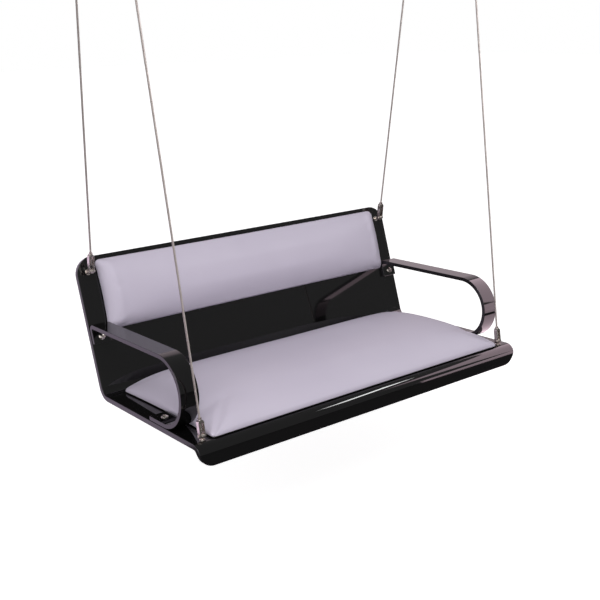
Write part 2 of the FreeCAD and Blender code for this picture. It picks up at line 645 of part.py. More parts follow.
for corner, eye_place in eye_places.items():
    end_name, side_name = corner.split("_")
    side = SIDES[side_name]
    pin = SEAT.multiply(eye_place).multVec(Vector(0, 0, size(EYE_STAND[end_name])))
    hook_point = hook_points[corner]
    print("pivot %s pin %.3f %.3f %.3f hook %.3f %.3f %.3f" % (corner, *pin, *hook_point))

    # the stirrup stands square to its pin, and leans with the rope to the front or the back only
    lean = math.atan2(pin.y - hook_point.y, hook_point.z - pin.z)
    stirrup_place = Placement(pin, Rotation(Vector(1, 0, 0), math.degrees(lean)))
    name = "stirrup_" + corner
    subpart(stirrup(name, STIRRUP_LONG[end_name]), name, stirrup_place)

    # the clevis pin has its head on the inner side and its nut on the outer side
    outward = Placement(pin, ALONG_X if side > 0 else AGAINST_X)
    half_grip = size("stirrup_wide") / 2
    name = "clevis_pin_" + corner
    head = rod(name + "_head", "pin_head_dia", "pin_head_thick",
               at(0, 0, -half_grip - size("pin_head_thick")))
    shank = rod(name + "_shank", "pin_dia", "stirrup_wide + pin_nut_high + pin_end",
                at(0, 0, -half_grip))
    subpart(joined(name, head, shank), name, outward)
    name = "clevis_nut_" + corner
    subpart(nut(name, "pin_nut_flats", "pin_dia", "pin_nut_high"), name,
            outward.multiply(at(0, 0, half_grip)))

    # the rope runs straight from the middle of the boss to its eye, which hangs on the hook
    boss_z = size("%s - stirrup_boss_high / 2" % STIRRUP_LONG[end_name])
    boss = stirrup_place.multVec(Vector(0, 0, boss_z))
    slack = size("thimble_inner - hook_wire / 2 - eye_slack")
    up = (hook_point - boss).normalize()
    way = hook_point - up * slack - boss
    across = (Vector(1, 0, 0) - up * up.x).normalize()
    rearward = up.cross(across)
    ring_z = math.sqrt(way.Length ** 2 - (strand_apart / 2) ** 2)
    swerve = math.asin(strand_apart / 2 / way.Length)
    axis = up * math.cos(swerve) - rearward * math.sin(swerve)
    rope_place = Placement(boss, Rotation(across, axis.cross(across), axis, "ZXY"))
    sleeve_top = -size("stirrup_boss_high / 2 + stop_gap")
    rope_start = sleeve_top - size("stop_long")
    name = "rope_" + corner
    rope = doc.addObject("Part::Feature", name)
    rope.Shape = bar(rope_path(rope_start, ring_z), size("rope_dia"))
    subpart(rope, name, rope_place)
    name = "stop_sleeve_" + corner
    bore = through(name + "_bore", "rope_dia + ferrule_gap", "stop_long",
                   at(0, 0, rope_start + size("stop_long") / 2))
    subpart(cut(name, rod(name + "_blank", "stop_dia", "stop_long", at(0, 0, rope_start)), bore),
            name, rope_place)

    # the ferrule squeezes both strands together
    name = "ferrule_" + corner
    ferrule_z = ring_z - throat_rise - size("ferrule_long")
    outside = "rope_dia + 2 * ferrule_wall"
    middle = add("Part::Box", name + "_middle", at(-size(outside) / 2, 0, ferrule_z),
                 Length=outside, Width="rope_dia + strand_gap", Height="ferrule_long")
    rounds = [rod(name + "_round_%d" % number, outside, "ferrule_long", at(0, y, ferrule_z))
              for number, y in enumerate((0, strand_apart), start=1)]
    bores = [through(name + "_bore_%d" % number, "rope_dia + ferrule_gap", "ferrule_long",
                     at(0, y, ferrule_z + size("ferrule_long") / 2))
             for number, y in enumerate((0, strand_apart), start=1)]
    subpart(cut(name, joined(name + "_blank", middle, *rounds), *bores), name, rope_place)

    # the thimble is a round channel with the rope in its groove
    name = "thimble_" + corner
    ring_place = at(0, strand_apart / 2, ring_z, ALONG_X)
    around = "thimble_inner + thimble_wall + rope_dia / 2"
    full = add("Part::Torus", name + "_full", ring_place, Radius1=around,
               Radius2="thimble_wall + rope_dia / 2")
    trim = through(name + "_trim", "2 * (%s)" % around, "2 * thimble_wall + rope_dia", ring_place)
    groove = add("Part::Torus", name + "_groove", ring_place, Radius1=around,
                 Radius2="(rope_dia + ferrule_gap) / 2")
    subpart(cut(name, shared(name + "_blank", full, trim), groove), name, rope_place)


doc.recompute()
for obj in doc.Objects:
    if {"Invalid", "Error"} & set(obj.State):
        raise RuntimeError("%s did not build: %s" % (obj.Label, obj.State))
for obj in exported:
    if obj.Shape.isNull() or not obj.Shape.isValid() or not obj.Shape.Solids:
        raise RuntimeError("%s has no valid shape" % obj.Label)
os.makedirs("parts", exist_ok=True)
for obj in exported:
    obj.Shape.exportStep("parts/%s.step" % obj.Label)
print("%d sub-parts" % len(exported))
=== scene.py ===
import json
import math

import bmesh
import bpy
from mathutils import Matrix, Vector

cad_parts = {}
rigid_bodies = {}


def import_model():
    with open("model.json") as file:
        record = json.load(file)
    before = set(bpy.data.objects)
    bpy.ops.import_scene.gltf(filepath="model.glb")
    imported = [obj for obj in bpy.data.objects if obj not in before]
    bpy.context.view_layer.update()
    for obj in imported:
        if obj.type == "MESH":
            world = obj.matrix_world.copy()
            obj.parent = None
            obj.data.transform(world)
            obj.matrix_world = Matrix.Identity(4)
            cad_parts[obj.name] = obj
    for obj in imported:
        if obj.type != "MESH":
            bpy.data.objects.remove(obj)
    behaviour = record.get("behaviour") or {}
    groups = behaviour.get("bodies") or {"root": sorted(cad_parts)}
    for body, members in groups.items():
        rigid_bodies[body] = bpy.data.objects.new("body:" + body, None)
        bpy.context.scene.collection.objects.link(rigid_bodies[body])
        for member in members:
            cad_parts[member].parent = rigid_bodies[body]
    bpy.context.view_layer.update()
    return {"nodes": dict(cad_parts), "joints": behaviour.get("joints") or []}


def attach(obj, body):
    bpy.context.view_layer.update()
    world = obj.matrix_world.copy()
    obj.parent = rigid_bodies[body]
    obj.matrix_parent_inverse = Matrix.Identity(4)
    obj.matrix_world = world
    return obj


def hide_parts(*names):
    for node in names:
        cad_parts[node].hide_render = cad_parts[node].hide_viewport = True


# A hanging swing for two. One bent sheet of black acrylic is its back, seat and lip, two bent strips are
# its arms, two cushions lie on it, and four wire ropes hang it from hooks in a ceiling. All in metres.
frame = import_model()


# Camera: it stands to the left of the seat, a little above its arms, and looks slightly down. The lens and
# the angles make the sheet's edges run as they do in the photograph.
CAMERA_PLACE = Vector((-1.743, -2.2523, -0.2252))
CAMERA_AZIMUTH, CAMERA_ELEVATION, CAMERA_ROLL = -37.86, 16.24, -1.17
CAMERA_LENS, CAMERA_SENSOR = 57.6, 36


def turned(angle, axis):
    """A turn by an angle in degrees about an axis."""
    return Matrix.Rotation(math.radians(angle), 4, axis)


def new_object(name, data):
    """An object of the scene with this data."""
    made = bpy.data.objects.new(name, data)
    bpy.context.scene.collection.objects.link(made)
    return made


camera = new_object("camera", bpy.data.cameras.new("camera"))
bpy.context.scene.camera = camera
camera.data.lens = CAMERA_LENS
camera.data.sensor_width = CAMERA_SENSOR
camera.matrix_world = (Matrix.Translation(CAMERA_PLACE) @ turned(CAMERA_AZIMUTH, "Z")
                       @ turned(90 - CAMERA_ELEVATION, "X") @ turned(CAMERA_ROLL, "Z"))


# Wire ropes: stainless steel, six strands laid round a seventh. Each starts in a pressed stop sleeve under
# the crown of its stirrup and runs up in a straight line, round a thimble on the ceiling hook and back
# down into a pressed ferrule.
ROPE_DIA = 0.006
STRAND_DIA = ROPE_DIA / 3
LAY_LENGTH = 0.042
LAY_STEPS = 12
STRAND_SIDES = 7
BOSS_ABOVE_PIN = {"rear": 0.0505, "front": 0.0415}
ROPE_BELOW_BOSS = 0.0307
HOOK_TO_EYE = 0.0069
TAIL_ASIDE = 0.0066
LOOP_RADIUS = 0.017
LOOP_CORNERS = (190, 140, 90, 40, -10)
LOOP_CORNER_STEP = 50
FOOT_BELOW_EYE = 0.02493
STRAIGHT_BEFORE_EYE = 6 * ROPE_DIA
TAIL_BEND = 0.018
TAIL_BELOW_EYE = 0.06629
ROPE_WIRE_PITCH = 0.011
ROPE_LINE_STEPS = 48
SIDES = {"left": -1, "right": 1}

joint_at = {joint["name"]: Vector(joint["pos_m"]) for joint in frame["joints"]}
rear_hook = joint_at["swing"]
HOOKS = {"rear": rear_hook, "front": Vector((rear_hook.x, -rear_hook.y, rear_hook.z))}
PINS = {"rear": joint_at["seat_pivot_rear"], "front": joint_at["rope_pivot_front_left"]}


def node(tree, kind, inputs=None, **settings):
    """A node with its settings, and its inputs by name or number: a value, or another node's output."""
    made = tree.nodes.new(kind)
    for name, value in settings.items():
        setattr(made, name, value)
    for key, value in (inputs or {}).items():
        if isinstance(value, bpy.types.NodeSocket):
            tree.links.new(value, made.inputs[key])
        else:
            made.inputs[key].default_value = value
    return made


def calc(tree, operation, *values):
    """The output of a Math node."""
    return node(tree, "ShaderNodeMath", dict(enumerate(values)), operation=operation).outputs[0]


def vector_calc(tree, operation, first, second):
    """The output of a Vector Math node."""
    return node(tree, "ShaderNodeVectorMath", {0: first, 1: second}, operation=operation).outputs[0]


def scaled(tree, vector, factor):
    """A vector times a number."""
    made = node(tree, "ShaderNodeVectorMath", {0: vector, "Scale": factor}, operation="SCALE")
    return made.outputs[0]


def new_group(kind, name, inputs, outputs):
    """A node tree with named sockets, and its input and output nodes."""
    tree = bpy.data.node_groups.new(name, kind)
    for in_out, sockets in (("INPUT", inputs), ("OUTPUT", outputs)):
        for label, socket in sockets.items():
            tree.interface.new_socket(label, in_out=in_out, socket_type="NodeSocket" + socket)
    return tree, node(tree, "NodeGroupInput").outputs, node(tree, "NodeGroupOutput")


def new_material(name, values):
    """A material, its tree and its Principled shader, whose sockets get these values."""
    made = bpy.data.materials.new(name)
    made.use_nodes = True
    shader = made.node_tree.nodes["Principled BSDF"]
    for socket, value in values.items():
        shader.inputs[socket].default_value = value
    return made, made.node_tree, shader


def plain_mesh(obj):
    """What an object's modifiers make of it, as a mesh of its own."""
    bpy.context.view_layer.update()
    evaluated = obj.evaluated_get(bpy.context.evaluated_depsgraph_get())
    return bpy.data.meshes.new_from_object(evaluated)


def shaped_by(obj, tree, values):
    """Gives the object the plain mesh that a Geometry Nodes tree makes from it."""
    modifier = obj.modifiers.new(tree.name, "NODES")
    modifier.node_group = tree
    for item in tree.interface.items_tree:
        if item.name in values:
            modifier[item.identifier] = values[item.name]
    made = plain_mesh(obj)
    obj.modifiers.remove(modifier)
    obj.data = made
    return obj


def wire_rope_lay():
    """The tree that lays seven strands along a centre line."""
    tree, given, result = new_group(
        "GeometryNodeTree", "wire_rope_lay",
        {"Centre line": "Geometry", "Strand radius": "Float", "Lay length": "Float", "Step": "Float",
         "Strand sides": "Int", "Steel": "Material"}, {"Rope": "Geometry"})
    around_core = 6
    centre = node(tree, "GeometryNodeMeshToCurve", {0: given["Centre line"]})
    even = node(tree, "GeometryNodeResampleCurve", {0: centre.outputs[0], "Length": given["Step"]},
                mode="LENGTH")
    copies = node(tree, "GeometryNodeDuplicateElements",
                  {"Geometry": even.outputs[0], "Amount": around_core + 1}, domain="SPLINE")
    number = copies.outputs["Duplicate Index"]
    along = node(tree, "GeometryNodeSplineParameter").outputs["Length"]
    turns = calc(tree, "ADD", calc(tree, "DIVIDE", along, given["Lay length"]),
                 calc(tree, "DIVIDE", number, around_core))
    angle = calc(tree, "MULTIPLY", turns, math.tau)
    outside = calc(tree, "LESS_THAN", number, around_core)
    reach = calc(tree, "MULTIPLY", calc(tree, "MULTIPLY", given["Strand radius"], 2.0), outside)
    normal = node(tree, "GeometryNodeInputNormal").outputs[0]
    tangent = node(tree, "GeometryNodeInputTangent").outputs[0]
    aside = vector_calc(tree, "CROSS_PRODUCT", tangent, normal)
    offset = vector_calc(tree, "ADD",
                         scaled(tree, normal, calc(tree, "MULTIPLY", calc(tree, "COSINE", angle), reach)),
                         scaled(tree, aside, calc(tree, "MULTIPLY", calc(tree, "SINE", angle), reach)))
    laid = node(tree, "GeometryNodeSetPosition", {"Geometry": copies.outputs[0], "Offset": offset})
    marked = node(tree, "GeometryNodeStoreNamedAttribute",
                  {"Geometry": laid.outputs[0], "Name": "strand_along", "Value": along},
                  data_type="FLOAT", domain="POINT")
    circle = node(tree, "GeometryNodeCurvePrimitiveCircle",
                  {"Resolution": given["Strand sides"], "Radius": given["Strand radius"]}, mode="RADIUS")
    ring = node(tree, "GeometryNodeStoreNamedAttribute",
                {"Geometry": circle.outputs[0], "Name": "strand_ring",
                 "Value": node(tree, "GeometryNodeInputPosition").outputs[0]},
                data_type="FLOAT_VECTOR", domain="POINT")
    tube = node(tree, "GeometryNodeCurveToMesh",
                {"Curve": marked.outputs[0], "Profile Curve": ring.outputs[0], "Fill Caps": True})
    smooth = node(tree, "GeometryNodeSetShadeSmooth", {"Geometry": tube.outputs[0]})
    real = node(tree, "GeometryNodeRealizeInstances", {0: smooth.outputs[0]})
    coated = node(tree, "GeometryNodeSetMaterial", {"Geometry": real.outputs[0], "Material": given["Steel"]})
    tree.links.new(coated.outputs[0], result.inputs[0])
    return tree


def rope_steel():
    """Drawn stainless wire: fine wires twisted in each strand, with painted shade in the grooves between
    them.
    """
    wires_round_strand, groove_shade_share = 6, 0.75
    steel, tree, shader = new_material("rope_steel", {"Metallic": 0.75, "Roughness": 0.34})
    ring = node(tree, "ShaderNodeAttribute", attribute_name="strand_ring").outputs["Vector"]
    along = node(tree, "ShaderNodeAttribute", attribute_name="strand_along").outputs["Fac"]
    parts = node(tree, "ShaderNodeSeparateXYZ", {0: ring}).outputs
    angle = calc(tree, "MULTIPLY", calc(tree, "ARCTAN2", parts["Y"], parts["X"]), wires_round_strand)
    twist = calc(tree, "MULTIPLY", along, math.tau / ROPE_WIRE_PITCH)
    half_angle = calc(tree, "MULTIPLY", calc(tree, "SUBTRACT", angle, twist), 0.5)
    wire_relief_and_groove_shade = calc(tree, "ABSOLUTE", calc(tree, "SINE", half_angle))
    noise = node(tree, "ShaderNodeTexNoise", {
        "Vector": node(tree, "ShaderNodeTexCoord").outputs["Object"], "Scale": 90.0, "Detail": 3.0})
    # The wire pattern paints shade into the grooves between wires. The noise adds a random tone. The dark end
    # of the ramp carries both.
    tone = calc(tree, "ADD", calc(tree, "MULTIPLY", wire_relief_and_groove_shade, groove_shade_share),
                calc(tree, "MULTIPLY", noise.outputs[0], 1 - groove_shade_share))
    colour = node(tree, "ShaderNodeValToRGB", {0: tone})
    colour.color_ramp.elements[0].color = (0.16, 0.135, 0.125, 1)
    colour.color_ramp.elements[1].color = (0.80, 0.715, 0.69, 1)
    tree.links.new(colour.outputs[0], shader.inputs["Base Color"])
    bump = node(tree, "ShaderNodeBump", {"Height": wire_relief_and_groove_shade, "Strength": 0.6, "Distance": 0.0002})
    tree.links.new(bump.outputs[0], shader.inputs["Normal"])
    return steel


def rope_frame(end, side):
    """The rope's own frame in the middle of its stirrup's boss, with the tail on its Y side and the main
    strand along its Z, and how far up the middle of its eye is."""
    mirror = Vector((-SIDES[side], 1, 1))
    pin, hook = PINS[end] * mirror, HOOKS[end] * mirror
    lean = math.atan2(pin.y - hook.y, hook.z - pin.z)
    boss = pin + BOSS_ABOVE_PIN[end] * Vector((0, -math.sin(lean), math.cos(lean)))
    up = (hook - boss).normalized()
    way = hook - up * HOOK_TO_EYE - boss
    across = (Vector((1, 0, 0)) - up * up.x).normalized()
    rearward = up.cross(across)
    swerve = math.asin(TAIL_ASIDE / 2 / way.length)
    axis = up * math.cos(swerve) - rearward * math.sin(swerve)
    turn = Matrix((across, axis.cross(across), axis)).transposed().to_4x4()
    return Matrix.Translation(boss) @ turn, math.sqrt(way.length ** 2 - (TAIL_ASIDE / 2) ** 2)


def rope_route(eye):
    """The control points of a rope's line, as Y and Z in its own frame."""
    foot = eye - FOOT_BELOW_EYE
    corner = LOOP_RADIUS / math.cos(math.radians(LOOP_CORNER_STEP / 2))
    points = [(0, -ROPE_BELOW_BOSS), (0, foot - STRAIGHT_BEFORE_EYE), (0, foot)]
    for angle in map(math.radians, LOOP_CORNERS):
        points.append((TAIL_ASIDE / 2 + corner * math.cos(angle), eye + corner * math.sin(angle)))
    return points + [(TAIL_ASIDE, foot), (TAIL_ASIDE, foot - TAIL_BEND), (TAIL_ASIDE, eye - TAIL_BELOW_EYE)]


def smooth_line(name, points):
    """A mesh with the points of the smooth line that these control points draw."""
    curve = bpy.data.curves.new(name, "CURVE")
    curve.dimensions = "3D"
    curve.resolution_u = ROPE_LINE_STEPS
    spline = curve.splines.new("NURBS")
    spline.points.add(len(points) - 1)
    for made, point in zip(spline.points, points):
        made.co = (*point, 1)
    spline.order_u = 3
    spline.use_endpoint_u = True
    drawn = new_object(name, curve)
    line = plain_mesh(drawn)
    bpy.data.objects.remove(drawn)
    return line


rope_lay = wire_rope_lay()
rope_material = rope_steel()
for end in HOOKS:
    for side in SIDES:
        corner_name = "%s_%s" % (end, side)
        place, eye = rope_frame(end, side)
        line = smooth_line("line", [place @ Vector((0, y, z)) for y, z in rope_route(eye)])
        rope = shaped_by(new_object("wire_rope_" + corner_name, line), rope_lay, {
            "Strand radius": STRAND_DIA / 2, "Lay length": LAY_LENGTH, "Step": LAY_LENGTH / LAY_STEPS,
            "Strand sides": STRAND_SIDES, "Steel": rope_material})
        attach(rope, "rope_" + corner_name)
        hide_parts("rope_" + corner_name)


# Steel fittings: stirrups with their clevis pins and nuts, eye bolts, washers and nuts, stop sleeves,
# ferrules, thimbles, ceiling hooks, plates and every screw. Turned and forged stainless steel, tumbled to
# a soft polish with a warm tone, and fastened by their own threads.
FITTING_NAMES = ("stirrup", "clevis", "eye_bolt", "stop_sleeve", "ferrule", "thimble", "ceiling", "hook_lock",
                 "arm_screws", "arm_cap", "cushion_screws", "tee_nuts")


def edge_softening():
    """Group: the normal of an edge that is broken by a small round."""
    tree, given, result = new_group("ShaderNodeTree", "edge_softening", {"Radius": "Float"},
                                    {"Normal": "Vector"})
    bevel = node(tree, "ShaderNodeBevel", {"Radius": given["Radius"]}, samples=4)
    tree.links.new(bevel.outputs[0], result.inputs[0])
    return tree


def handling_marks():
    """Group: masks of wiped smears and of fine hairline scratches, from 0 clean to 1 marked."""
    smears_from, smears_full = 0.42, 0.75
    scratches_from, scratches_full = 0.70, 0.76
    scratch_stretches = ((1.0, 0.02, 0.02), (0.03, 1.0, 0.05), (0.5, 0.6, 0.02))
    tree, given, result = new_group("ShaderNodeTree", "handling_marks",
                                    {"Smear scale": "Float", "Scratch scale": "Float"},
                                    {"Smears": "Float", "Scratches": "Float"})
    place = node(tree, "ShaderNodeTexCoord").outputs["Object"]
    smear = node(tree, "ShaderNodeTexNoise", {
        "Vector": place, "Scale": given["Smear scale"], "Detail": 4.0, "Distortion": 0.6})
    faded = node(tree, "ShaderNodeMapRange", {0: smear.outputs[0], 1: smears_from, 2: smears_full})
    tree.links.new(faded.outputs[0], result.inputs["Smears"])
    hairlines = None
    for stretch in scratch_stretches:
        wide = node(tree, "ShaderNodeMapping", {"Vector": place, "Scale": stretch,
                                                "Rotation": (0.3, stretch[1], 0.9)})
        lines = node(tree, "ShaderNodeTexNoise", {
            "Vector": wide.outputs[0], "Scale": given["Scratch scale"], "Detail": 1.0})
        thin = node(tree, "ShaderNodeMapRange", {
            0: lines.outputs[0], 1: scratches_from, 2: scratches_full}).outputs[0]
        hairlines = thin if hairlines is None else calc(tree, "MAXIMUM", hairlines, thin)
    tree.links.new(hairlines, result.inputs["Scratches"])
    return tree


soft_edges = edge_softening()
marks = handling_marks()


def fitting_steel():
    """Tumbled stainless steel with softened edges, duller where it was wiped or scratched."""
    clean_rough, smear_dulls, scratch_dulls = 0.2, 0.12, 0.1
    steel, tree, shader = new_material("fitting_steel", {"Metallic": 1.0})
    marked = node(tree, "ShaderNodeGroup", {"Smear scale": 60.0, "Scratch scale": 1500.0}, node_tree=marks)
    tone = node(tree, "ShaderNodeValToRGB", {0: marked.outputs["Smears"]})
    tone.color_ramp.elements[0].color = (0.78, 0.71, 0.67, 1)
    tone.color_ramp.elements[1].color = (0.60, 0.535, 0.50, 1)
    tree.links.new(tone.outputs[0], shader.inputs["Base Color"])
    scratched = calc(tree, "MULTIPLY", marked.outputs["Scratches"], scratch_dulls)
    rough = calc(tree, "ADD", calc(tree, "MULTIPLY", marked.outputs["Smears"], smear_dulls),
                 calc(tree, "ADD", scratched, clean_rough))
    tree.links.new(rough, shader.inputs["Roughness"])
    soft = node(tree, "ShaderNodeGroup", {"Radius": 0.0007}, node_tree=soft_edges)
    bump = node(tree, "ShaderNodeBump", {"Height": marked.outputs["Scratches"], "Strength": 0.15,
                                         "Distance": 0.0001, "Normal": soft.outputs[0]})
    tree.links.new(bump.outputs[0], shader.inputs["Normal"])
    return steel


def dress(piece, material):
    """Gives a piece one material."""
    piece.data.materials.clear()
    piece.data.materials.append(material)


fitting_material = fitting_steel()
for name, piece in frame["nodes"].items():
    if any(part in name for part in FITTING_NAMES):
        dress(piece, fitting_material)


# Seat sheet: cast black acrylic, 15 mm thick, cut with round corners and polished edges while it is flat,
# then heated and bent once between back and seat and once down into the lip. It carries all the rest.
SEAT_SET_BACK, SEAT_DROP, SEAT_TILT = 0.159, 1.26, 1.84
BACK_LEAN = 15.5
SHEET_THICK, SHEET_HALF_WIDTH = 0.015, 0.6
BACK_LENGTH, SEAT_DEPTH, LIP_HEIGHT = 0.404, 0.519, 0.061
REAR_BEND_INNER, FRONT_BEND_INNER = 0.03, 0.015
BACK_CORNER, LIP_CORNER = 0.055, 0.045
SHEET_RIM = 0.0016
ROW_STEP = 1.5
RIM_ANGLES = (90, 67.5, 45, 22.5, 0)
SEAT = Matrix.Translation((0, SEAT_SET_BACK, -SEAT_DROP)) @ turned(-SEAT_TILT, "X")
BACK = SEAT @ turned(90 - BACK_LEAN, "X")


def bent_line(start, heading, runs):
    """A function that gives a place and a heading on a line of straight runs and arcs, from a distance
    along it, and the distances where its arcs need rows. A run is a length, or a radius and a turn."""
    legs = []
    rows = []
    along, spot = 0, Vector(start)
    for run in runs:
        if len(run) == 1:
            length, radius, turn = run[0], 0, 0
        else:
            radius, turn = run
            length = radius * math.radians(abs(turn))
            steps = math.ceil(abs(turn) / ROW_STEP)
            rows += [along + length * i / steps for i in range(steps + 1)]
        legs.append((along, length, radius, turn, spot, heading))
        spot, heading = leg_end(legs[-1], length)
        along += length

    def at(distance):
        leg = [leg for leg in legs if leg[0] <= distance][-1] if distance > 0 else legs[0]
        return leg_end(leg, distance - leg[0])
    return at, rows, along


def leg_end(leg, distance):
    """Where a leg of a bent line has got to after a distance, and its heading there in degrees."""
    _, length, radius, turn, spot, heading = leg
    angle = math.radians(heading)
    if not turn:
        return spot + distance * Vector((math.cos(angle), math.sin(angle))), heading
    side = math.copysign(1, turn)
    turned_by = side * distance / radius
    centre = spot + side * radius * Vector((-math.sin(angle), math.cos(angle)))
    end = angle + turned_by
    return centre + side * radius * Vector((math.sin(end), -math.cos(end))), math.degrees(end)


def bent_sheet(name, line, half_width, thick, first_corner, last_corner, rim, place):
    """A sheet with round corners and a small round along its rim, bent along a line in the YZ plane."""
    at, bend_rows, length = line
    corner_steps = math.ceil(90 / ROW_STEP)
    angles = [math.radians(90 * i / corner_steps) for i in range(corner_steps + 1)]
    rows = [(first_corner, -math.cos(angle), math.sin(angle), first_corner) for angle in angles]
    rows += [(distance, 0, 1, 0) for distance in bend_rows
             if first_corner < distance < length - last_corner]
    rows += [(length - last_corner, math.cos(angle), math.sin(angle), last_corner)
             for angle in reversed(angles)]
    layers = [(angle, 1) for angle in RIM_ANGLES] + [(angle, -1) for angle in reversed(RIM_ANGLES)]
    mesh = bmesh.new()
    edge_mark = mesh.verts.layers.float.new("cut_edge")
    normals = []
    loops = []
    for angle, face in layers:
        steep = math.radians(angle)
        inset = rim * (1 - math.cos(steep))
        height = face * (thick / 2 - rim * (1 - math.sin(steep)))
        sides = {-1: [], 1: []}
        for centre, out_along, out_across, corner in rows:
            radius = corner - inset if corner else 0
            distance = centre + radius * out_along
            across = half_width - corner + radius * out_across if corner else half_width - inset
            spot, heading = at(distance)
            tangent = Vector((0, math.cos(math.radians(heading)), math.sin(math.radians(heading))))
            up = Vector((0, tangent.z, -tangent.y))
            for side, made in sides.items():
                vert = mesh.verts.new(place @ (Vector((side * across, *spot)) + up * height))
                vert[edge_mark] = math.cos(steep)
                outward = tangent * out_along + Vector((side * out_across, 0, 0))
                normals.append(place.to_3x3() @ (outward * math.cos(steep) + up * face * math.sin(steep)))
                made.append(vert)
        loops.append(sides[1] + sides[-1][::-1])
    count = len(loops[0])
    for upper, lower in zip(loops, loops[1:]):
        for i in range(count):
            mesh.faces.new((upper[i], upper[i - 1], lower[i - 1], lower[i]))
    for loop, way in ((loops[0], 1), (loops[-1], -1)):
        for i in range(len(rows) - 1):
            mesh.faces.new((loop[i], loop[i + 1], loop[-2 - i], loop[-1 - i])[::way])
    bmesh.ops.recalc_face_normals(mesh, faces=mesh.faces)
    for face in mesh.faces:
        face.smooth = True
    made = bpy.data.meshes.new(name)
    mesh.to_mesh(made)
    mesh.free()
    made.normals_split_custom_set_from_vertices(normals)
    return new_object(name, made)


def straight_after(length, radius, turn):
    """What a bend's arc leaves of a run that would reach the corner of the bend."""
    return length - radius * math.tan(math.radians(abs(turn)) / 2)


def sheet_line():
    """The middle line of the sheet, from the top of the back to the foot of the lip."""
    lean = math.radians(BACK_LEAN)
    rear_turn, front_turn = BACK_LEAN - 90, 90
    rear, front = REAR_BEND_INNER + SHEET_THICK / 2, FRONT_BEND_INNER + SHEET_THICK / 2
    past_corner = SHEET_THICK / 2 * math.tan(math.radians(-rear_turn) / 2)
    start = (BACK_LENGTH * math.sin(lean) + SHEET_THICK / 2 * math.cos(lean),
             BACK_LENGTH * math.cos(lean) - SHEET_THICK / 2 * math.sin(lean))
    seat = straight_after(SEAT_DEPTH - SHEET_THICK / 2 + past_corner, rear, rear_turn)
    return bent_line(start, 270 - BACK_LEAN, [
        (straight_after(BACK_LENGTH + past_corner, rear, rear_turn),), (rear, rear_turn),
        (straight_after(seat, front, front_turn),), (front, front_turn),
        (straight_after(LIP_HEIGHT - SHEET_THICK / 2, front, front_turn),)])


def black_acrylic():
    """Gloss black acrylic. Its cut edges are a little less clear than its faces."""
    clean_rough, edge_dulls, smear_dulls, scratch_dulls = 0.035, 0.06, 0.025, 0.05
    acrylic, tree, shader = new_material("black_acrylic", {"IOR": 1.49})
    marked = node(tree, "ShaderNodeGroup", {"Smear scale": 7.0, "Scratch scale": 700.0}, node_tree=marks)
    edge = node(tree, "ShaderNodeAttribute", attribute_name="cut_edge").outputs["Fac"]
    colour = node(tree, "ShaderNodeValToRGB", {0: edge})
    colour.color_ramp.elements[0].color = (0.0035, 0.0033, 0.0036, 1)
    colour.color_ramp.elements[1].color = (0.012, 0.010, 0.013, 1)
    tree.links.new(colour.outputs[0], shader.inputs["Base Color"])
    rough = calc(tree, "ADD", calc(tree, "MULTIPLY", marked.outputs["Smears"], smear_dulls),
                 calc(tree, "ADD", calc(tree, "MULTIPLY", edge, edge_dulls), clean_rough))
    scratched = calc(tree, "MULTIPLY", marked.outputs["Scratches"], scratch_dulls)
    tree.links.new(calc(tree, "ADD", rough, scratched), shader.inputs["Roughness"])
    return acrylic


acrylic_material = black_acrylic()
seat_sheet = bent_sheet("seat_sheet", sheet_line(), SHEET_HALF_WIDTH, SHEET_THICK, BACK_CORNER, LIP_CORNER,
                        SHEET_RIM, SEAT)
dress(seat_sheet, acrylic_material)
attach(seat_sheet, "seat")
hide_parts("seat_shell")


# Arms: one strip of the same acrylic on each side, 12 mm thick, heated and bent into a half ring in front,
# with a foot on the seat and a flange on the back. A screw goes through each end.
ARM_HALF_WIDTH, ARM_THICK, ARM_HEIGHT = 0.0275, 0.012, 0.204
ARM_REACH, ARM_FOOT, ARM_FLANGE = 0.443, 0.074, 0.0627
ARM_BEND_INNER = 0.006
ARM_EDGE_GAP = 0.002
ARM_CORNER, ARM_RIM = 0.0022, 0.0012


def arm_line():
    """The middle line of an arm, from the end of its foot round to the end of its flange."""
    lean = math.radians(BACK_LEAN)
    ring = ARM_HEIGHT / 2 - ARM_THICK / 2
    bend = ARM_BEND_INNER + ARM_THICK / 2
    turn = -(90 + BACK_LEAN)
    ring_y = ARM_HEIGHT / 2 - ARM_REACH
    up_back = (ARM_HEIGHT - ARM_THICK / 2 * (1 + math.sin(lean))) / math.cos(lean)
    corner_y = up_back * math.sin(lean) - ARM_THICK / 2 * math.cos(lean)
    flange = up_back - (ARM_HEIGHT / math.cos(lean) - ARM_FLANGE)
    return bent_line((ring_y + ARM_FOOT, ARM_THICK / 2), 180, [
        (ARM_FOOT,), (ring, -180), (straight_after(corner_y - ring_y, bend, turn),), (bend, turn),
        (straight_after(flange, bend, turn),)])


for side, way in SIDES.items():
    arm_place = SEAT @ Matrix.Translation((way * (SHEET_HALF_WIDTH - ARM_EDGE_GAP - ARM_HALF_WIDTH), 0, 0))
    arm = bent_sheet("armrest_" + side, arm_line(), ARM_HALF_WIDTH, ARM_THICK, ARM_CORNER, ARM_CORNER,
                     ARM_RIM, arm_place)
    dress(arm, acrylic_material)
    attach(arm, "seat")
    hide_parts("arm_" + side)


# Cushion boards: 8 mm plywood stained black, under each cushion. The cover is stapled under its edge, and
# screws from outside the sheet hold it by tee nuts.
BOARD_TOP = 0.0083
BOARD_INSET = 0.0048


